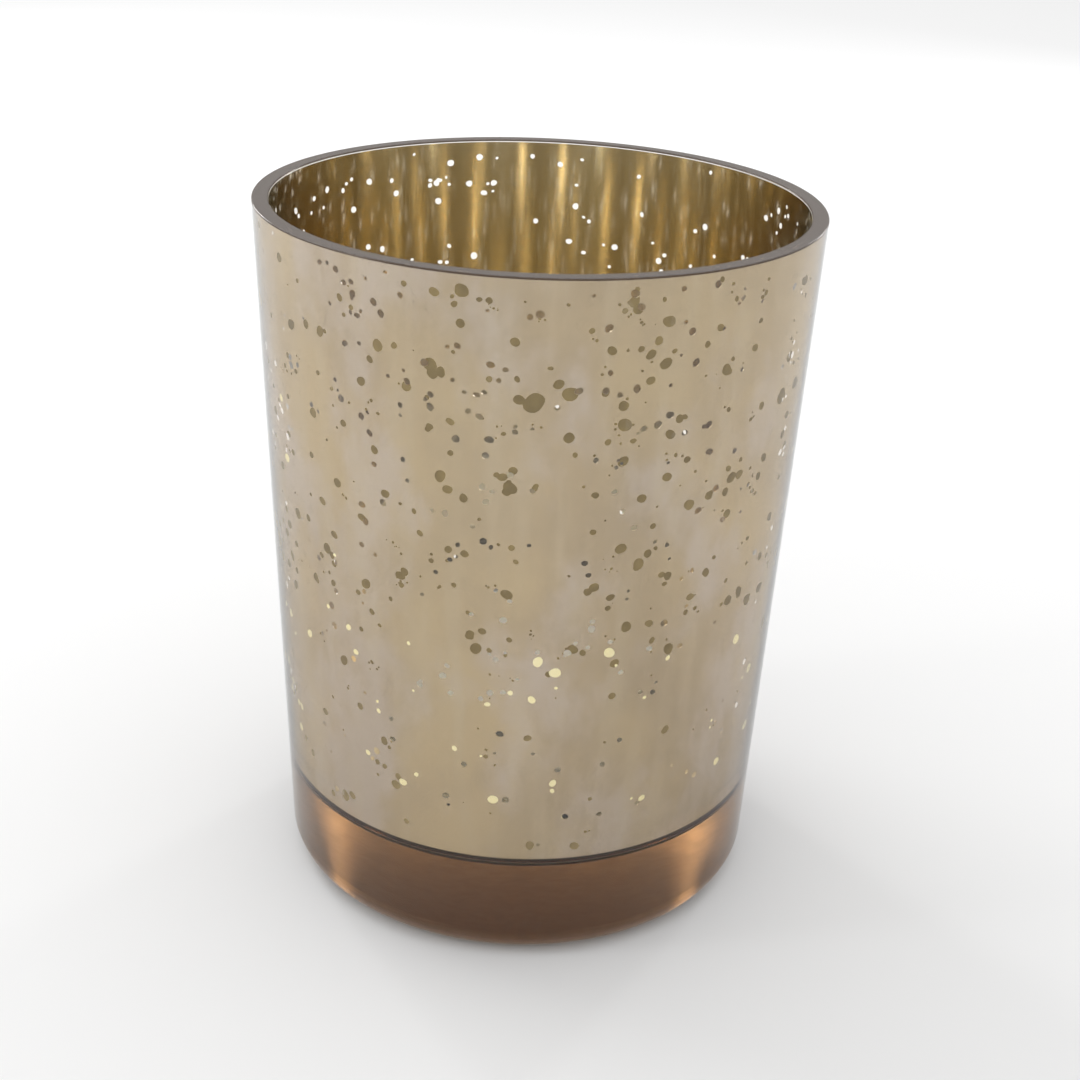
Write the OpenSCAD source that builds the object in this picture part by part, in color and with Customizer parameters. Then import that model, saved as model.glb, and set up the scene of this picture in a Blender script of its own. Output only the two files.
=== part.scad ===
// Tealight holder: a tapered tumbler of mirrored glass with a heavy base, coated inside
// with a silver mirror film and a gold lacquer film, holding a tealight that lifts out.
// The origin is the centre of the face that the tumbler stands on, and +Z is up.

/* [Tumbler] */
// Height from the table to the rim
height = 90; // [86:1:110]
// Outside diameter at the rim
rim_d = 70; // [68:1:84]
// Diameter that the tapered outside would reach at the table, without the rounded heel
foot_d = 63; // [61:1:66]
// Thickness of the solid glass base
base_t = 12.5; // [9:0.5:15]
// Radius of the rounded heel
heel_radius = 4; // [2:0.5:6]
// Rounding of both edges of the ground rim
rim_edge = 0.2; // [0.2:0.1:0.8]
// Depth of the hollow pressed up into the underside
punt_depth = 0.8; // [0.4:0.1:1.5]
// Width of the flat ring that the tumbler stands on
foot_ring_w = 5; // [3:0.5:8]

/* [Well] */
// Thickness of the glass at the rim
rim_wall = 2; // [1.8:0.1:2.6]
// Diameter that the tapered inside would reach at the floor, without its rounded corner
well_floor_d = 58; // [57:0.5:59]
// Radius of the rounded corner between the wall and the floor
well_radius = 2; // [1:0.5:4]

/* [Coats] */
// Thickness of each coat, drawn thicker than the real film so that it is a solid
coat_t = 0.1; // [0.05:0.05:0.15]
// Bare glass left between the rim's rounding and the top of the coats
coat_margin = 0.1; // [0.1:0.1:1.5]

/* [Tealight] */
// Diameter of the aluminium cup's wall at the top
cup_d = 38; // [37:0.5:38.5]
// Diameter of the aluminium cup's wall at the bottom
cup_base_d = 37; // [36:0.5:37]
// Height of the aluminium cup
cup_h = 16; // [14:0.5:18]
// Thickness of the aluminium foil, drawn thicker than the real one
foil_t = 0.25; // [0.2:0.05:0.35]
// Radius of the curled rim of the aluminium cup
curl_r = 0.55; // [0.4:0.05:0.6]
// How far the wax stays below the cup's rim
wax_drop = 2; // [1.5:0.5:4]
// Diameter of the wick
wick_d = 1.8; // [1.4:0.1:2]
// Length of wick that stands above the wax
wick_free = 8; // [5:0.5:10]
// Diameter of the tin disc that holds the wick
sustainer_d = 13; // [10:0.5:15]
// Height of the tin disc's crimped neck
neck_h = 4; // [3:0.5:6]
// Gap left under the tealight
rest_gap = 0.2; // [0.1:0.1:0.3]

/* [Hidden] */
$fn = 128;
arc_steps = 12;
rim_r = rim_d / 2;
foot_r = foot_d / 2;
well_r = well_floor_d / 2;
outer_taper = atan((rim_r - foot_r) / height);
well_taper = atan((rim_r - rim_wall - well_r) / (height - base_t));
coat_top = height - rim_edge - coat_margin;
// Where the tealight stands, above both coats of the floor
tealight_z = base_t + 2 * coat_t + rest_gap;
// The aluminium cup's bottom is pressed up in the middle, so that it stands on a ring
panel_r = 14;
panel_up = 0.6;
panel_ramp = 1;
cup_corner = 1;
cup_taper = atan((cup_d - cup_base_d) / 2 / cup_h);
wax_top = cup_h - wax_drop;
// The wax climbs the foil and sinks slightly at the wick as it sets
meniscus_h = 0.5;
meniscus_w = 1.2;
wax_dip = 0.3;
neck_wall = 0.5;

// Radius of the tumbler's tapered outside at height z
function outer_r(z) = foot_r + z * tan(outer_taper);

// Radius of the well's tapered wall at height z
function inner_r(z) = well_r + (z - base_t) * tan(well_taper);

// Points on an arc about c, from angle a to angle b
function arc(c, r, a, b) = [
    for (i = [0 : arc_steps]) let (t = a + (b - a) * i / arc_steps) c + r * [cos(t), sin(t)]
];

// A list in the opposite order
function reversed(list) = [for (i = [len(list) - 1 : -1 : 0]) list[i]];

// Centre of a corner of radius r between a floor at height z and a wall that leans out by taper
// and has radius wall_r at the centre's height
function corner_centre(wall_r, taper, r, z) = [wall_r - r / cos(taper), z + r];

// The well's outline from the axis to height top, moved into the well by t
function well_outline(t, top) = let (
    c = corner_centre(inner_r(base_t + well_radius), well_taper, well_radius, base_t)
) concat(
    [[0, base_t + t]],
    arc(c, well_radius - t, -90, -well_taper),
    [[inner_r(top) - t / cos(well_taper), top]]
);

// The underside from the axis to the start of the heel: a shallow dome, then the foot ring
function underside(ring_in) = [
    for (i = [0 : arc_steps]) let (u = i / arc_steps) [ring_in * u, punt_depth * (1 - u * u)]
];

// The aluminium cup's outline from the axis to its top, moved inwards by t
function cup_outline(t) = let (
    foot = corner_centre(cup_base_d / 2 + cup_corner * tan(cup_taper), cup_taper, cup_corner, 0)
) concat(
    [[0, panel_up + t], [panel_r - panel_ramp, panel_up + t], [panel_r, t]],
    arc(foot, cup_corner - t, -90, -cup_taper),
    [[cup_d / 2 - t / cos(cup_taper), cup_h]]
);

// Radius of the aluminium cup's inside at height z, above its rounded corner
function cup_inner_r(z) = cup_base_d / 2 + z * tan(cup_taper) - foil_t / cos(cup_taper);

module glass_tumbler() {
    heel = corner_centre(outer_r(heel_radius), outer_taper, heel_radius, 0);
    edge_z = height - rim_edge;
    rim_out = [outer_r(edge_z) - rim_edge / cos(outer_taper), edge_z];
    rim_in = [inner_r(edge_z) + rim_edge / cos(well_taper), edge_z];
    color([0.55, 0.40, 0.24, 0.6])
    rotate_extrude()
    polygon(concat(
        underside(heel[0] - foot_ring_w),
        arc(heel, heel_radius, -90, -outer_taper),
        arc(rim_out, rim_edge, -outer_taper, 90),
        arc(rim_in, rim_edge, 90, 180 - well_taper),
        reversed(well_outline(0, edge_z - rim_edge))
    ));
}

// One film on the well, with its outside moved into the well by t
module coat(t) {
    rotate_extrude()
    polygon(concat(well_outline(t, coat_top), reversed(well_outline(t + coat_t, coat_top))));
}

module silver_mirror_coat() {
    color([0.80, 0.75, 0.64]) coat(0);
}

module gold_lacquer_coat() {
    color([0.62, 0.46, 0.20]) coat(coat_t);
}

module tealight_cup() {
    color([0.80, 0.81, 0.82])
    translate([0, 0, tealight_z])
    rotate_extrude() {
        polygon(concat(cup_outline(0), reversed(cup_outline(foil_t))));
        translate([cup_d / 2, cup_h - curl_r]) circle(r = curl_r);
    }
}

// The wick and its sustainer as one solid of revolution, which the wax is cast around
module wick_space() {
    floor_z = panel_up + foil_t;
    rotate_extrude()
    polygon([
        [0, floor_z], [sustainer_d / 2, floor_z], [sustainer_d / 2, floor_z + foil_t],
        [wick_d / 2 + neck_wall, floor_z + foil_t], [wick_d / 2 + neck_wall, floor_z + neck_h],
        [wick_d / 2, floor_z + neck_h], [wick_d / 2, cup_h], [0, cup_h]
    ]);
}

module wax_fill() {
    color([0.95, 0.93, 0.87])
    translate([0, 0, tealight_z])
    difference() {
        rotate_extrude()
        polygon(concat(
            [for (p = cup_outline(foil_t)) if (p[1] < wax_top) p],
            [
                [cup_inner_r(wax_top + meniscus_h), wax_top + meniscus_h],
                [cup_inner_r(wax_top) - meniscus_w / 2, wax_top + meniscus_h / 4],
                [cup_inner_r(wax_top) - meniscus_w, wax_top],
                [sustainer_d / 2, wax_top],
                [wick_d, wax_top - wax_dip],
                [0, wax_top - wax_dip]
            ]
        ));
        wick_space();
    }
}

module wick() {
    color([0.92, 0.90, 0.82])
    translate([0, 0, tealight_z + panel_up + foil_t])
    cylinder(d = wick_d, h = wax_top + wick_free - panel_up - foil_t);
}

module wick_sustainer() {
    color([0.70, 0.70, 0.68])
    translate([0, 0, tealight_z + panel_up + foil_t])
    difference() {
        union() {
            cylinder(d = sustainer_d, h = foil_t);
            cylinder(d = wick_d + 2 * neck_wall, h = neck_h);
        }
        translate([0, 0, -foil_t]) cylinder(d = wick_d, h = neck_h + 2 * foil_t);
    }
}

glass_tumbler();
silver_mirror_coat();
gold_lacquer_coat();
tealight_cup();
wax_fill();
wick();
wick_sustainer();
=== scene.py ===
import math
import random

import bpy
import numpy as np
from mathutils import Matrix, Vector
from mathutils.geometry import delaunay_2d_cdt


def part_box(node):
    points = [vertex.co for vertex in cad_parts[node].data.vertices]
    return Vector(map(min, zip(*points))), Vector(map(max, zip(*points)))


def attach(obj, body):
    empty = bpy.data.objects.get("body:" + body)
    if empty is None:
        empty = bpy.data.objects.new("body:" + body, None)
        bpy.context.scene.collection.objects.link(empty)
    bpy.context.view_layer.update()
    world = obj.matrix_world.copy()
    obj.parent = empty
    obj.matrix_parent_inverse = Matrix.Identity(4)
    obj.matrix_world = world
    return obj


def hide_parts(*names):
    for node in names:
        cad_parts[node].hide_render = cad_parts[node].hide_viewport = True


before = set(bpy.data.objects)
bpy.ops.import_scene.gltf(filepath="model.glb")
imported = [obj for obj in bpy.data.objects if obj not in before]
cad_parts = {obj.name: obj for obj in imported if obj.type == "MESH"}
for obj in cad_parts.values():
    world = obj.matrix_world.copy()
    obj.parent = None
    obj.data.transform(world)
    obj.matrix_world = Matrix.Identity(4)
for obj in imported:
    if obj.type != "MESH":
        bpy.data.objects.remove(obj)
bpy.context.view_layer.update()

# A mirrored glass tealight holder: a tinted tumbler, coated inside with a silver film that has bare
# specks and a gold film that some of them go through, and a tealight in it. Lengths are in metres.

MM = 0.001

# ---------------------------------------------------------------- sizes

GLASS_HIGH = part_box("glass_tumbler")[1]
HEIGHT = GLASS_HIGH.z
RIM_R = GLASS_HIGH.x
FOOT_R = 31.5 * MM        # where the tapered outside would meet the table
HEEL_R = 4 * MM
RIM_EDGE = 0.2 * MM
PUNT_DEPTH = 0.8 * MM
FOOT_RING = 5 * MM
RIM_WALL = 2 * MM
BASE_T = 12.5 * MM
WELL_R = 29 * MM          # where the tapered wall of the well would meet its floor
WELL_FILLET = 2 * MM
FILM_TOP = HEIGHT - RIM_EDGE - 0.1 * MM

CUP_LOW, CUP_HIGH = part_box("tealight_cup")
CUP_R = 19 * MM
CUP_BASE_R = 18.5 * MM
CUP_H = CUP_HIGH.z - CUP_LOW.z
FOIL_T = 0.25 * MM
CURL_R = 0.55 * MM
PANEL_R = 14 * MM
PANEL_UP = 0.6 * MM
CUP_CORNER = 1 * MM
WAX_TOP = 14 * MM         # above the cup's foot
WICK_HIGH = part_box("wick")[1].z
WICK_R = 0.9 * MM

OUTER_TAPER = math.atan((RIM_R - FOOT_R) / HEIGHT)
WELL_TAPER = math.atan((RIM_R - RIM_WALL - WELL_R) / (HEIGHT - BASE_T))
CUP_TAPER = math.atan((CUP_R - CUP_BASE_R) / CUP_H)

# ---------------------------------------------------------------- outlines
# An outline is a list of (r, z, normal r, normal z), from the axis and back to it.


def arc(centre, radius, first, last, step=3.0):
    """Points round an arc, in degrees, with normals pointing away from its centre."""
    count = max(2, math.ceil(abs(last - first) / step))
    points = []
    for i in range(count + 1):
        t = math.radians(first + (last - first) * i / count)
        c, s = math.cos(t), math.sin(t)
        points.append((centre[0] + radius * c, centre[1] + radius * s, c, s))
    return points


def turned(points):
    """The same points with their normals the other way."""
    return [(r, z, -nr, -nz) for r, z, nr, nz in points]


def corner_centre(wall_r, taper, radius, z):
    """Centre of a rounded corner between a floor at z and a wall that leans out by taper."""
    return wall_r - radius / math.cos(taper), z + radius


def outer_r(z):
    return FOOT_R + z * math.tan(OUTER_TAPER)


def inner_r(z):
    return WELL_R + (z - BASE_T) * math.tan(WELL_TAPER)


def glass_outline():
    """The tumbler's outline, and how many of its points are on the foot, and before and on the rim."""
    heel = corner_centre(outer_r(HEEL_R), OUTER_TAPER, HEEL_R, 0)
    ring = heel[0] - FOOT_RING
    under = []
    for i in range(17):
        u = i / 16
        slope = -2 * PUNT_DEPTH * u / ring
        size = math.hypot(slope, 1)
        under.append((ring * u, PUNT_DEPTH * (1 - u * u), slope / size, -1 / size))
    edge_z = HEIGHT - RIM_EDGE
    out_taper, in_taper = math.degrees(OUTER_TAPER), math.degrees(WELL_TAPER)
    rim_out = (outer_r(edge_z) - RIM_EDGE / math.cos(OUTER_TAPER), edge_z)
    rim_in = (inner_r(edge_z) + RIM_EDGE / math.cos(WELL_TAPER), edge_z)
    well = corner_centre(inner_r(BASE_T + WELL_FILLET), WELL_TAPER, WELL_FILLET, BASE_T)
    foot = under + [(ring, 0, 0, -1)]
    outside = foot + arc(heel, HEEL_R, -90, -out_taper)
    rim = (
        arc(rim_out, RIM_EDGE, -out_taper, 90, 8)
        + arc(rim_in, RIM_EDGE, 90, 180 - in_taper, 8)
    )
    inside = turned(arc(well, WELL_FILLET, -in_taper, -90, 6)) + [(0, BASE_T, 0, 1)]
    return outside + rim + inside, len(foot) + 6, len(outside), len(rim)


def cup_outline():
    """The aluminium cup's outside from the axis to its curled rim, then its inside and back."""
    foot = corner_centre(CUP_BASE_R + CUP_CORNER * math.tan(CUP_TAPER), CUP_TAPER, CUP_CORNER, 0)
    taper = math.degrees(CUP_TAPER)
    curl = (CUP_R, CUP_H - CURL_R)
    wall = []
    for i in range(1, 16):
        z = foot[1] + (curl[1] - CURL_R - foot[1]) * i / 15
        wall.append((CUP_BASE_R + z * math.tan(CUP_TAPER), z, 1, 0))
    panel = [(0, PANEL_UP), (PANEL_R - 2 * MM, PANEL_UP), (PANEL_R - 1.3 * MM, PANEL_UP * 0.8),
             (PANEL_R - 0.7 * MM, PANEL_UP * 0.2), (PANEL_R, 0)]
    outside = (
        [(r, z, 0, -1) for r, z in panel]
        + arc(foot, CUP_CORNER, -90, -taper, 10)
        + wall
        + arc(curl, CURL_R, -80, 170, 15)
    )
    inside_wall = [(r - FOIL_T, z, -1, 0) for r, z, _, _ in reversed(wall)]
    inside = (
        inside_wall
        + turned(arc(foot, CUP_CORNER - FOIL_T, -taper, -90, 10))
        + [(r, z + FOIL_T, 0, 1) for r, z in reversed(panel)]
    )
    return [(r, z + CUP_LOW.z, nr, nz) for r, z, nr, nz in outside + inside]


# ---------------------------------------------------------------- meshes


def add_piece(name, body, replaced, material, mesh):
    piece = bpy.data.objects.new(name, mesh)
    bpy.context.scene.collection.objects.link(piece)
    piece.data.materials.append(material)
    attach(piece, body)
    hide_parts(replaced)
    return piece


def smooth(mesh, normals=None):
    """Shades a mesh smooth, with one given normal per vertex if there are any."""
    mesh.polygons.foreach_set("use_smooth", [True] * len(mesh.polygons))
    if normals is not None:
        mesh.normals_split_custom_set_from_vertices(normals)
    mesh.update()
    return mesh


def lathe(name, outline, segments, own_normals=True, bend=None):
    """A closed surface of revolution. bend moves its points: a function of angle, r and z."""
    verts, normals, rings = [], [], []
    for r, z, nr, nz in outline:
        if r < 1e-7:
            rings.append([len(verts)] * segments)
            verts.append((0, 0, z) if bend is None else bend(0, 0, z))
            normals.append((0, 0, nz))
            continue
        rings.append(list(range(len(verts), len(verts) + segments)))
        for j in range(segments):
            t = 2 * math.pi * j / segments
            verts.append((r * math.cos(t), r * math.sin(t), z) if bend is None else bend(t, r, z))
            normals.append((nr * math.cos(t), nr * math.sin(t), nz))
    faces = []
    for low, high in zip(rings, rings[1:]):
        for j in range(segments):
            k = (j + 1) % segments
            corners = [low[j], low[k], high[k], high[j]]
            face = list(dict.fromkeys(corners))
            if len(face) > 2:
                faces.append(face)
    mesh = bpy.data.meshes.new(name)
    mesh.from_pydata(verts, [], faces)
    return smooth(mesh, normals if own_normals else None)


# ---------------------------------------------------------------- the two perforated films
# The specks are cut in the well's wall rolled out flat: across is the angle times FLAT_R, and up
# is the length s along the well's outline from the axis. Both are in millimetres.

FLAT_R = 31.0
COLUMNS = 144
WALL_ROWS, FILLET_ROWS, FLOOR_ROWS = 34, 13, 10
HUB_S, HUB_REACH = 1.0, 1.5               # the innermost row, and a length that takes in only it
FILLET_ARC = math.radians(90) - WELL_TAPER
FLOOR_S = (inner_r(BASE_T + WELL_FILLET) - WELL_FILLET / math.cos(WELL_TAPER)) / MM
WALL_S = FLOOR_S + WELL_FILLET / MM * FILLET_ARC
WALL_Z = BASE_T + WELL_FILLET * (1 - math.sin(WELL_TAPER))
TOP_S = WALL_S + (FILM_TOP - WALL_Z) / math.cos(WELL_TAPER) / MM
AROUND = 2 * math.pi * FLAT_R


def on_well(s, depth):
    """r, z and the normal towards the glass, for arrays s at a depth from the glass."""
    s = s * MM
    centre_r, centre_z = FLOOR_S * MM, BASE_T + WELL_FILLET
    turn = np.clip((s - FLOOR_S * MM) / WELL_FILLET, 0, FILLET_ARC)
    nr, nz = np.sin(turn), -np.cos(turn)
    r = centre_r + (WELL_FILLET - depth) * nr
    z = centre_z + (WELL_FILLET - depth) * nz
    over = np.maximum(s - WALL_S * MM, 0)
    r = r + over * math.sin(WELL_TAPER) + np.minimum(s - FLOOR_S * MM, 0)
    z = z + over * math.cos(WELL_TAPER)
    return r, z, nr, nz


def blot(across, s, size, rng, wobble=0.16):
    """One speck's outline: a rounded, slightly uneven spot, size across."""
    count = max(7, min(20, int(6 + size * 5)))
    waves = [(k, rng.uniform(0, wobble / k), rng.uniform(0, 6.3)) for k in (1, 2, 3, 4)]
    stretch, lean = rng.uniform(1.0, 1.13), rng.uniform(0, math.pi)
    outline = []
    for i in range(count):
        t = 2 * math.pi * i / count
        r = size / 2 * (1 + sum(a * math.cos(k * t + p) for k, a, p in waves))
        along = r * stretch * math.cos(t - lean)
        beside = r / stretch * math.sin(t - lean)
        outline.append((across + along * math.cos(lean) - beside * math.sin(lean),
                        s + along * math.sin(lean) + beside * math.cos(lean)))
    return outline


SPECKS = 2050
SPECK_SIZE, SPECK_SPREAD = 0.78, 0.36     # the usual size in millimetres, and how far it varies
SPECK_MOST = 1.6
CROWDING = ((8, 0.15), (28, 0.50))        # below this height on the wall, this share of the specks
FINE_CHANCE, FINE_FACTOR = 0.15, 0.4
LARGE_CHANCE, LARGE_SIZES = 0.01, (1.3, 2.3)
CLUSTER_CHANCE = 0.13
WORN_CHANCE, WORN_SIZES = 0.55, (0.4, 1.0)
PAINTED_GLINT_CHANCE, PAINTED_GLINT_SIZES = 0.5, (0.35, 1.4)
PAINTED_GLINT_BAND = (5, 30)                      # heights on the wall where many specks get the painted glint
PAINTED_GLINT_ELSEWHERE = 0.01
PAINTED_GLINT_SPILL = 1.15                        # how far the painted glint reaches past its speck
SPECK_MARGIN = 0.3


def about(middle, outline, factor):
    """An outline made larger or smaller about a point."""
    return [tuple(m + factor * (p - m) for m, p in zip(middle, point)) for point in outline]


def scatter_specks():
    """Outlines of the bare specks in the silver, of those worn through the lacquer as well, and of
    those that get a painted glint, a near-white copy of the lacquer. They are alike all the way round."""
    rng = random.Random(11)
    spots = []
    low, high = WALL_S - 0.5, TOP_S - 0.4
    while len(spots) < SPECKS:
        size = SPECK_SIZE * math.exp(rng.gauss(0, SPECK_SPREAD))
        s = rng.uniform(low, high)
        crowd = next((share for top, share in CROWDING if s < low + top), 1.0)
        if size > SPECK_MOST or rng.random() > crowd:
            continue
        if rng.random() < FINE_CHANCE:
            size *= FINE_FACTOR
        if rng.random() < LARGE_CHANCE:
            size = rng.uniform(*LARGE_SIZES)
        across = rng.uniform(0, AROUND)
        spots.append((across, s, size))
        if rng.random() < CLUSTER_CHANCE:
            for _ in range(rng.randint(1, 4)):
                turn, gap = rng.uniform(0, 6.3), rng.uniform(0.9, 2.4)
                spots.append((across + math.cos(turn) * size * gap, s + math.sin(turn) * size * gap,
                              size * rng.uniform(0.4, 0.9)))
    bare, worn, painted_glint_outlines = [], [], []
    for across, s, size in spots:
        reach = 0.7 * size + SPECK_MARGIN
        if low + reach < s < high - reach and reach < across < AROUND - reach:
            outline = blot(across, s, size, rng)
            bare.append(outline)
            in_band = low + PAINTED_GLINT_BAND[0] < s < low + PAINTED_GLINT_BAND[1]
            chance = PAINTED_GLINT_CHANCE if in_band else PAINTED_GLINT_ELSEWHERE
            if WORN_SIZES[0] < size < WORN_SIZES[1] and rng.random() < WORN_CHANCE:
                worn.append(outline)
            # Some specks, most of them low on the wall, get the painted glint.
            elif PAINTED_GLINT_SIZES[0] < size < PAINTED_GLINT_SIZES[1] and rng.random() < chance:
                painted_glint_outlines.append(about((across, s), outline, PAINTED_GLINT_SPILL))
    return bare, worn, painted_glint_outlines


def perforated_sheet(outlines, marked=()):
    """Points (across, s) and triangles of the flat wall without the specks, joined at the seam, and
    which of the triangles are in the marked outlines."""
    wall_rows = np.linspace(WALL_S, TOP_S, WALL_ROWS)
    fillet_rows = np.linspace(FLOOR_S, WALL_S, FILLET_ROWS)[:-1]
    floor_rows = np.linspace(HUB_S, FLOOR_S, FLOOR_ROWS)[:-1]
    rows = np.concatenate([floor_rows, fillet_rows, wall_rows])
    columns = np.linspace(0, AROUND, COLUMNS + 1)
    points = [Vector((u, s)) for s in rows for u in columns]
    rings = []
    for outline in (*outlines, *marked):
        rings.append(list(range(len(points), len(points) + len(outline))))
        points += [Vector(p) for p in outline]
    coords, _, faces, _, _, owners = delaunay_2d_cdt(points, [], rings, 0, 1e-5, True)
    bare = len(outlines)
    kept, marks = [], []
    for face, owner in zip(faces, owners):
        if all(ring >= bare for ring in owner):
            kept.append(face)
            marks.append(len(owner) > 0)
    seam = {}
    index, used, place = {}, [], []
    for face in kept:
        for v in face:
            if v in index:
                continue
            u, s = coords[v]
            key = round(s, 3) if min(u, AROUND - u) < 1e-3 else None
            if key is not None and key in seam:
                index[v] = seam[key]
                continue
            index[v] = len(used)
            if key is not None:
                seam[key] = index[v]
            used.append(v)
            place.append((0.0 if key is not None else u, s))
    return np.array(place), np.array([[index[v] for v in face] for face in kept]), marks


def open_edges(triangles):
    """The edges with a triangle on one side only, each in its triangle's direction."""
    edges = np.concatenate([triangles[:, [0, 1]], triangles[:, [1, 2]], triangles[:, [2, 0]]])
    held = {tuple(e) for e in edges.tolist()}
    return np.array([e for e in edges.tolist() if (e[1], e[0]) not in held])


def film(name, place, triangles, near, far):
    """A closed film between two depths from the glass, with walls round each speck."""
    t = place[:, 0] / FLAT_R
    layers, normals = [], []
    for depth, way in ((near, 1), (far, -1)):
        r, z, nr, nz = on_well(place[:, 1], depth)
        layers.append(np.stack([r * np.cos(t), r * np.sin(t), z], 1))
        normals.append(way * np.stack([nr * np.cos(t), nr * np.sin(t), nz], 1))
    count = len(place)
    verts, vert_normals = np.concatenate(layers), np.concatenate(normals)
    a, b, c = (layers[0][triangles[:, k]] for k in range(3))
    facing = (np.cross(b - a, c - a) * normals[0][triangles[:, 0]]).sum(1)
    triangles = np.where((facing < 0)[:, None], triangles[:, ::-1], triangles)
    rim = open_edges(triangles)
    walls = np.stack([rim[:, 1], rim[:, 0], rim[:, 0] + count, rim[:, 1] + count], 1)
    is_centre = (place[rim[:, 0], 1] < HUB_REACH) & (place[rim[:, 1], 1] < HUB_REACH)
    walls = walls[~is_centre]
    hubs = []
    for layer, depth in ((0, near), (1, far)):
        hubs.append(len(verts))
        hub_z = BASE_T + depth
        verts = np.concatenate([verts, [[0, 0, hub_z]]])
        vert_normals = np.concatenate([vert_normals, [[0, 0, -1 if layer == 0 else 1]]])
    centre = rim[is_centre]
    caps = np.stack([centre[:, 1], centre[:, 0], np.full(len(centre), hubs[0])], 1)
    caps_far = np.stack([centre[:, 0] + count, centre[:, 1] + count, np.full(len(centre), hubs[1])], 1)
    smooth_faces = np.concatenate([triangles, triangles[:, ::-1] + count, caps, caps_far])
    mesh = bpy.data.meshes.new(name)
    mesh.from_pydata(verts, [], smooth_faces.tolist() + walls.tolist())
    edge_a, edge_b = verts[walls[:, 1]] - verts[walls[:, 0]], verts[walls[:, 3]] - verts[walls[:, 0]]
    wall_normals = np.cross(edge_a, edge_b)
    wall_normals /= np.maximum(np.linalg.norm(wall_normals, axis=1, keepdims=True), 1e-12)
    loops = np.concatenate([vert_normals[smooth_faces.ravel()], np.repeat(wall_normals, 4, 0)])
    mesh.polygons.foreach_set("use_smooth", [True] * len(mesh.polygons))
    mesh.normals_split_custom_set(loops)
    mesh.update()
    return mesh


# ---------------------------------------------------------------- materials


class Nodes:
    """A node tree, with short calls for the nodes used here."""

    def __init__(self, tree, place="Object"):
        self.tree = tree
        self.place = self.add("ShaderNodeTexCoord").outputs[place]

    def add(self, kind, **settings):
        node = self.tree.nodes.new(kind)
        for key, value in settings.items():
            setattr(node, key, value)
        return node

    def join(self, source, target):
        if isinstance(source, (int, float, tuple, list)):
            target.default_value = source
        else:
            self.tree.links.new(source, target)

    def scaled(self, scale):
        node = self.add("ShaderNodeMapping")
        node.inputs["Scale"].default_value = scale
        self.join(self.place, node.inputs["Vector"])
        return node.outputs["Vector"]

    def noise(self, per_mm, detail=4.0, rough=0.55, stretch=(1, 1, 1)):
        """Noise with per_mm features to the millimetre."""
        node = self.add("ShaderNodeTexNoise")
        self.join(self.scaled(tuple(per_mm / MM * k for k in stretch)), node.inputs["Vector"])
        node.inputs["Scale"].default_value = 1.0
        node.inputs["Detail"].default_value = detail
        node.inputs["Roughness"].default_value = rough
        return node.outputs["Fac"]

    def dots(self, per_mm):
        """Distance to the nearest of many random points, per_mm of them to the millimetre."""
        node = self.add("ShaderNodeTexVoronoi")
        self.join(self.scaled((per_mm / MM,) * 3), node.inputs["Vector"])
        node.inputs["Scale"].default_value = 1.0
        return node.outputs["Distance"]

    def remap(self, value, low, high, to_low=0.0, to_high=1.0):
        node = self.add("ShaderNodeMapRange", interpolation_type="SMOOTHSTEP")
        self.join(value, node.inputs["Value"])
        for key, number in zip(("From Min", "From Max", "To Min", "To Max"),
                               (low, high, to_low, to_high)):
            self.join(number, node.inputs[key])
        return node.outputs["Result"]

    def math(self, operation, a, b):
        node = self.add("ShaderNodeMath", operation=operation)
        self.join(a, node.inputs[0])
        self.join(b, node.inputs[1])
        return node.outputs[0]

    def mix(self, factor, a, b):
        node = self.add("ShaderNodeMix", data_type="RGBA")
        self.join(factor, node.inputs["Factor"])
        for value, key in ((a, "A"), (b, "B")):
            sockets = [s for s in node.inputs if s.name == key and s.type == "RGBA"]
            self.join((*value, 1.0) if isinstance(value, tuple) else value, sockets[0])
        return [s for s in node.outputs if s.type == "RGBA"][0]

    def part(self, index):
        """One coordinate of the place on the object: 0, 1 or 2."""
        node = self.add("ShaderNodeSeparateXYZ")
        self.join(self.place, node.inputs[0])
        return node.outputs[index]


class Surface(Nodes):
    """A material made of one Principled shader."""

    def __init__(self, name):
        self.material = bpy.data.materials.new(name)
        self.material.use_nodes = True
        super().__init__(self.material.node_tree)
        self.shader = self.tree.nodes["Principled BSDF"]
        self.output = self.tree.nodes["Material Output"]

    def set(self, **values):
        for key, value in values.items():
            self.join(value, self.shader.inputs[key.replace("_", " ")])

    def bump(self, height, distance):
        node = self.add("ShaderNodeBump")
        node.inputs["Distance"].default_value = distance
        self.join(height, node.inputs["Height"])
        self.join(node.outputs["Normal"], self.shader.inputs["Normal"])

    def absorb(self, colour, density):
        volume = self.add("ShaderNodeVolumeAbsorption")
        volume.inputs["Color"].default_value = (*colour, 1)
        volume.inputs["Density"].default_value = density
        self.join(volume.outputs["Volume"], self.output.inputs["Volume"])

    def brushed_upright(self, amount):
        """Blurs reflections up and down more than sideways, round the Z axis."""
        tangent = self.add("ShaderNodeTangent", direction_type="RADIAL", axis="Z")
        self.join(tangent.outputs["Tangent"], self.shader.inputs["Tangent"])
        self.set(Anisotropic=amount, Anisotropic_Rotation=0.25)


GLASS_TINT, GLASS_DEPTH = (0.60, 0.36, 0.02), 48


def tinted_glass():
    n = Surface("tinted_glass")
    n.set(Base_Color=(1, 1, 1, 1), Roughness=0.0, IOR=1.5, Transmission_Weight=1.0)
    n.absorb(GLASS_TINT, GLASS_DEPTH)
    return n.material


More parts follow.
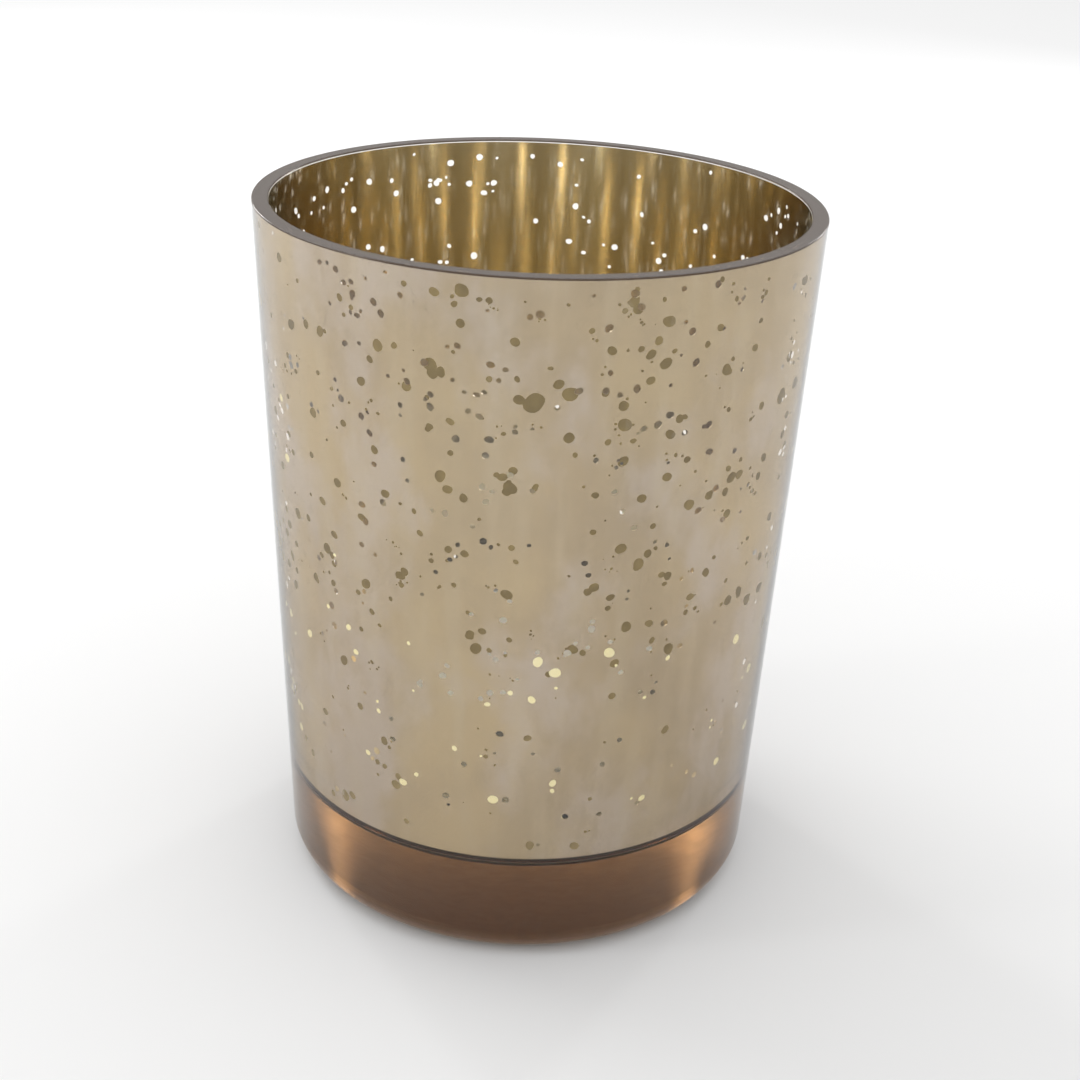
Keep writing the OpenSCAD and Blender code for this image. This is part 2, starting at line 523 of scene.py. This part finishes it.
def ground_rim_painted_shade():
    """The rim is ground, so it is slightly frosted; its darker brown base colour and lower
    transmission are painted shade that dims the rim's glints.
    """
    n = Surface("ground_rim_painted_shade")
    grain = n.noise(1.2, 4)
    n.set(Base_Color=n.mix(grain, (0.46, 0.29, 0.18), (0.58, 0.39, 0.26)), IOR=1.5,
          Roughness=n.remap(grain, 0.3, 0.7, 0.16, 0.24), Transmission_Weight=0.86)
    n.absorb(GLASS_TINT, GLASS_DEPTH)
    return n.material


def pressed_foot():
    """The face that the glass stands on is slightly stippled, so it scatters what is under it."""
    n = Surface("pressed_foot")
    grain = n.noise(0.8, 4)
    n.set(Base_Color=n.mix(grain, (0.92, 0.72, 0.30), (0.98, 0.80, 0.40)), IOR=1.5,
          Roughness=n.remap(grain, 0.3, 0.7, 0.36, 0.46), Transmission_Weight=1.0)
    n.absorb(GLASS_TINT, GLASS_DEPTH)
    return n.material


def silver_film():
    n = Surface("silver_film")
    cloud = n.noise(0.07, 3)
    streak = n.noise(0.35, 4, stretch=(1, 1, 0.10))
    fine = n.noise(2.2, 3, stretch=(1, 1, 0.25))
    haze = n.noise(0.07, 5, 0.62, stretch=(1, 1, 0.6))
    stain = n.noise(0.04, 3, stretch=(1, 1, 0.5))
    colour = n.mix(n.remap(cloud, 0.35, 0.65), (0.52, 0.43, 0.28), (0.47, 0.39, 0.265))
    colour = n.mix(n.remap(stain, 0.46, 0.62, 0, 0.4), colour, (0.39, 0.32, 0.235))
    colour = n.mix(n.remap(haze, 0.46, 0.66, 0, 0.65), colour, (0.55, 0.50, 0.46))
    colour = n.mix(n.remap(streak, 0.40, 0.75, 0, 0.35), colour, (0.56, 0.50, 0.38))
    colour = n.mix(n.remap(fine, 0.45, 0.8, 0, 0.06), colour, (0.36, 0.30, 0.22))
    near_rim = n.remap(n.part(2), HEIGHT - 18 * MM, HEIGHT - 2 * MM, 0.15, 1)
    patch = n.math("MULTIPLY", n.remap(n.noise(0.12, 3, 0.6), 0.45, 0.62), near_rim)
    speckle = n.remap(n.dots(3.2), 0.15, 0.24, 1, 0)
    rare = n.remap(n.noise(1.1, 2), 0.48, 0.60)
    mark = n.math("MULTIPLY", n.math("MULTIPLY", speckle, rare), patch)
    colour = n.mix(mark, colour, (0.20, 0.15, 0.10))
    n.set(Base_Color=colour, Metallic=1.0, Roughness=n.remap(cloud, 0.3, 0.7, 0.03, 0.06))
    return n.material


def gold_film():
    n = Surface("gold_film")
    cloud = n.noise(0.1, 3)
    fine = n.noise(3.0, 3)
    runs_and_painted_streaks = n.noise(0.22, 3, stretch=(1, 1, 0.05))
    colour = n.mix(n.remap(cloud, 0.35, 0.65), (0.76, 0.70, 0.57), (0.72, 0.65, 0.50))
    # Pale upright runs: lacquer runs, and also painted reflection streaks that stand in for the
    # streaked highlights in the well.
    colour = n.mix(n.remap(runs_and_painted_streaks, 0.40, 0.70, 0, 0.6), colour, (0.90, 0.85, 0.70))
    colour = n.mix(n.remap(fine, 0.5, 0.8, 0, 0.2), colour, (0.74, 0.66, 0.50))
    n.set(Base_Color=colour, Metallic=1.0, Roughness=n.remap(cloud, 0.3, 0.7, 0.08, 0.10))
    n.brushed_upright(0.7)
    return n.material


def lacquer_back():
    """The lacquer from behind, through the glass: this is the colour of most specks."""
    n = Surface("lacquer_back")
    cloud = n.noise(0.35, 3)
    colour = n.mix(n.remap(cloud, 0.35, 0.65), (0.38, 0.29, 0.11), (0.31, 0.235, 0.09))
    # Painted light: the lacquer is made lighter towards the bottom of the wall, from 42 mm down to 16
    # mm, to give the low specks their lighter look.
    colour = n.mix(n.remap(n.part(2), 16 * MM, 42 * MM, 0.6, 0), colour, (0.55, 0.45, 0.24))
    n.set(Base_Color=colour, Metallic=0.5, Roughness=n.remap(cloud, 0.3, 0.7, 0.28, 0.42))
    return n.material


def painted_glint_lacquer():
    """A lit, near-white copy of the lacquer: painted glints on some specks, in place of light seen
    through worn specks. It is a smooth metal, so it also mirrors what is outside.
    """
    n = Surface("painted_glint_lacquer")
    cloud = n.noise(0.9, 3)
    n.set(Base_Color=n.mix(cloud, (1.0, 0.93, 0.52), (1.0, 0.97, 0.68)), Metallic=1.0,
          Roughness=n.remap(cloud, 0.3, 0.7, 0.06, 0.16))
    return n.material


def foil_aluminium():
    n = Surface("foil_aluminium")
    brushed = n.noise(0.6, 4, stretch=(1, 1, 6))
    n.set(Base_Color=n.mix(brushed, (0.50, 0.51, 0.52), (0.62, 0.63, 0.64)), Metallic=1.0,
          Roughness=n.remap(brushed, 0.3, 0.7, 0.18, 0.34))
    n.bump(n.noise(1.5, 4), 0.03 * MM)
    return n.material


def paraffin():
    n = Surface("paraffin")
    cloud = n.noise(0.15, 4)
    n.set(Base_Color=n.mix(cloud, (0.90, 0.87, 0.79), (0.96, 0.94, 0.89)),
          Roughness=n.remap(n.noise(0.8, 4), 0.3, 0.7, 0.32, 0.5),
          Subsurface_Weight=0.35, Subsurface_Radius=(1.0, 0.7, 0.5), Subsurface_Scale=2 * MM)
    n.bump(n.noise(0.9, 5), 0.05 * MM)
    return n.material


def waxed_cotton():
    n = Surface("waxed_cotton")
    thread = n.noise(6.0, 4)
    n.set(Base_Color=n.mix(thread, (0.72, 0.66, 0.52), (0.92, 0.89, 0.80)),
          Roughness=n.remap(thread, 0.3, 0.7, 0.55, 0.8))
    n.bump(thread, 0.06 * MM)
    return n.material


def tinplate():
    n = Surface("tinplate")
    grain = n.noise(0.8, 4, stretch=(1, 6, 1))
    n.set(Base_Color=n.mix(grain, (0.58, 0.58, 0.57), (0.74, 0.74, 0.72)), Metallic=1.0,
          Roughness=n.remap(grain, 0.3, 0.7, 0.22, 0.4))
    return n.material


# ---------------------------------------------------------------- pieces


GLASS_SEGMENTS = 256


def make_glass():
    outline, foot, before_rim, rim = glass_outline()
    mesh = lathe("glass_vessel", outline, GLASS_SEGMENTS)
    piece = add_piece("glass_vessel", "holder", "glass_tumbler", tinted_glass(), mesh)
    piece.data.materials.append(ground_rim_painted_shade())
    piece.data.materials.append(pressed_foot())
    for slot, first, last in ((1, before_rim, before_rim + rim - 1), (2, 0, foot)):
        for face in range(first * GLASS_SEGMENTS, last * GLASS_SEGMENTS):
            mesh.polygons[face].material_index = slot


# How deep each film starts and ends. Both start a little inside the glass, so that no faces coincide.
SILVER_DEPTHS = (-0.024 * MM, -0.014 * MM)
GOLD_DEPTHS = (-0.008 * MM, 0.020 * MM)


def make_films():
    """The silver, and the gold behind it, which shows the back of its lacquer to the glass, with a
    painted glint on some specks.
    """
    bare, worn, painted_glint_outlines = scatter_specks()
    place, triangles, _ = perforated_sheet(bare)
    silver = film("silver_film", place, triangles, *SILVER_DEPTHS)
    place, triangles, painted_glint_faces = perforated_sheet(worn, painted_glint_outlines)
    gold = film("gold_film", place, triangles, *GOLD_DEPTHS)
    add_piece("silver_film", "holder", "silver_mirror_coat", silver_film(), silver)
    piece = add_piece("gold_film", "holder", "gold_lacquer_coat", gold_film(), gold)
    piece.data.materials.append(lacquer_back())
    piece.data.materials.append(painted_glint_lacquer())
    # Faces towards the glass show the lacquer's back, or the painted glint inside the glint outlines;
    # faces towards the well stay gold.
    for face, painted_glint_face in enumerate(painted_glint_faces):
        piece.data.polygons[face].material_index = 2 if painted_glint_face else 1


PLEATS = 84
PLEAT_DEPTH = 0.14 * MM


def pleated(t, r, z):
    """Presses fine upright pleats into the aluminium cup's wall."""
    up = (z - CUP_LOW.z) / CUP_H
    depth = PLEAT_DEPTH * min(1, max(0, (up - 0.08) / 0.15)) * min(1, max(0, (0.97 - up) / 0.06))
    if r > CUP_BASE_R - CUP_CORNER:
        r += depth * math.cos(PLEATS * t)
    return r * math.cos(t), r * math.sin(t), z


def make_cup():
    mesh = lathe("aluminium_cup", cup_outline(), PLEATS * 8, False, pleated)
    add_piece("aluminium_cup", "tealight", "tealight_cup", foil_aluminium(), mesh)


def wax_outline():
    wall = CUP_BASE_R + WAX_TOP * math.tan(CUP_TAPER) - FOIL_T
    top = CUP_LOW.z + WAX_TOP
    surface = [(0, top - 0.35 * MM, 0, 1)]
    for i in range(1, 41):
        u = i / 40
        r = wall * u
        climb = 0.5 * MM * math.exp((r - wall) / (0.45 * MM))
        dish = -0.35 * MM * math.exp(-((r / (2.2 * MM)) ** 2))
        swell = 0.10 * MM * math.cos(u * 9) * (1 - u)
        surface.append((r, top + climb + dish + swell, 0, 1))
    low = CUP_LOW.z + PANEL_UP + FOIL_T
    side = [(wall, top - 1 * MM, 1, 0), (CUP_BASE_R - FOIL_T, low + 2 * MM, 1, 0),
            (PANEL_R - 2 * MM, low, 0, -1), (0, low, 0, -1)]
    return list(reversed(surface + side))


def make_wax():
    rng = random.Random(5)
    waves = [(rng.randint(2, 5), rng.uniform(0, 6.3), rng.uniform(0.02, 0.05)) for _ in range(4)]

    def uneven(t, r, z):
        lift = sum(a * math.cos(k * t + p) for k, p, a in waves) * MM * (r / CUP_R) ** 2
        if z < CUP_LOW.z + WAX_TOP - 0.6 * MM:
            lift = 0
        return r * math.cos(t), r * math.sin(t), z + lift

    mesh = lathe("wax_disc", wax_outline(), 128, False, uneven)
    add_piece("wax_disc", "tealight", "wax_fill", paraffin(), mesh)


def make_wick():
    """A braided wick that stands straight in the wax and leans a little above it."""
    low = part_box("wick")[0].z
    free = CUP_LOW.z + WAX_TOP
    rings, around = 150, 48
    verts, faces = [], []
    for i in range(rings + 1):
        z = low + (WICK_HIGH - 0.1 * MM - low) * i / rings
        up = max(0, z - free) / (WICK_HIGH - free)
        lean = 0.9 * MM * up * up
        for j in range(around):
            t = 2 * math.pi * j / around
            turn = 2 * math.pi * z / (4.5 * MM)
            strand = abs(math.sin(1.5 * (t + turn))) * 0.5 + abs(math.sin(1.5 * (t - turn))) * 0.5
            r = WICK_R * (0.80 + 0.18 * strand)
            if i == rings:
                r *= 0.82
            verts.append((r * math.cos(t) + lean, r * math.sin(t) + lean * 0.4, z))
    for i in range(rings):
        for j in range(around):
            k = (j + 1) % around
            a, b = i * around, (i + 1) * around
            faces.append((a + j, a + k, b + k, b + j))
    faces.append(list(range(around))[::-1])
    faces.append([rings * around + j for j in range(around)])
    mesh = bpy.data.meshes.new("braided_wick")
    mesh.from_pydata(verts, [], faces)
    add_piece("braided_wick", "tealight", "wick", waxed_cotton(), smooth(mesh))


def finish_sustainer():
    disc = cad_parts["wick_sustainer"]
    disc.data.materials.clear()
    disc.data.materials.append(tinplate())


# ---------------------------------------------------------------- stage, light and camera


def make_floor():
    n = Surface("floor")
    size = 20.0
    mesh = bpy.data.meshes.new("floor")
    mesh.from_pydata([(-size, -size, 0), (size, -size, 0), (size, size, 0), (-size, size, 0)],
                     [], [(0, 1, 2, 3)])
    floor = bpy.data.objects.new("floor", mesh)
    bpy.context.scene.collection.objects.link(floor)
    floor.location.z = -0.02 * MM
    n.set(Base_Color=(0.90, 0.90, 0.90, 1), Roughness=0.9, Specular_IOR_Level=0.0)
    mesh.materials.append(n.material)


def make_world():
    """A plain grey room, lighter overhead."""
    world = bpy.data.worlds.new("studio")
    bpy.context.scene.world = world
    world.use_nodes = True
    n = Nodes(world.node_tree, "Generated")
    room = n.mix(n.remap(n.part(2), 0.0, 0.6), (0.42, 0.42, 0.42), (1.0, 1.0, 1.0))
    n.join(room, world.node_tree.nodes["Background"].inputs["Color"])


def add_light(name, place, target, size, power):
    lamp = bpy.data.lights.new(name, "AREA")
    lamp.shape = "RECTANGLE"
    lamp.size, lamp.size_y = size
    lamp.energy = power
    holder = bpy.data.objects.new(name, lamp)
    bpy.context.scene.collection.objects.link(holder)
    holder.location = place
    holder.rotation_euler = (Vector(target) - Vector(place)).to_track_quat("-Z", "Y").to_euler()
    return holder


def make_lights():
    """A key from behind on the left and three narrow softboxes. The camera sees none of them."""
    lamps = [add_light("key", (-0.6, 0.45, 0.75), (0, 0, 0.03), (0.5, 0.5), 1.6)]
    for name, place, size, power in (
        ("back_left_strip", (-0.40, 0.57, 0.28), (0.08, 0.22), 0.55),
        ("back_right_strip", (0.40, 0.57, 0.28), (0.08, 0.22), 0.55),
        ("side_strip", (-0.55, -0.15, 0.30), (0.08, 0.40), 0.3),
    ):
        lamps.append(add_light(name, place, (0, 0, 0.06), size, power))
    for lamp in lamps:
        lamp.visible_camera = False


def make_camera():
    """The photograph's viewpoint: a short distance off, a little above the rim, rolled."""
    distance, height = 210.5 * MM, 141 * MM
    yaw, pitch, roll = (math.radians(a) for a in (0.45, 24.75, 2.45))
    forward = Vector((math.sin(yaw) * math.cos(pitch), math.cos(yaw) * math.cos(pitch),
                      -math.sin(pitch)))
    right = Vector((math.cos(yaw), -math.sin(yaw), 0))
    up = right.cross(forward)
    side = right * math.cos(roll) + up * math.sin(roll)
    top = up * math.cos(roll) - right * math.sin(roll)
    data = bpy.data.cameras.new("camera")
    data.sensor_width = 36
    data.lens = 58
    data.clip_start = 0.005
    camera = bpy.data.objects.new("camera", data)
    bpy.context.scene.collection.objects.link(camera)
    turn = Matrix((side, top, -forward)).transposed()
    camera.matrix_world = Matrix.Translation((0, -distance, height)) @ turn.to_4x4()
    bpy.context.scene.camera = camera


def set_render_look():
    scene = bpy.context.scene
    scene.view_settings.view_transform = "Standard"
    scene.cycles.max_bounces = 24
    scene.cycles.glossy_bounces = 16
    scene.cycles.transmission_bounces = 20
    scene.cycles.transparent_max_bounces = 8
    scene.cycles.sample_clamp_indirect = 6


make_camera()
make_glass()
make_films()
make_cup()
make_wax()
make_wick()
finish_sustainer()
make_floor()
make_world()
make_lights()
set_render_look()

bpy.context.view_layer.update()
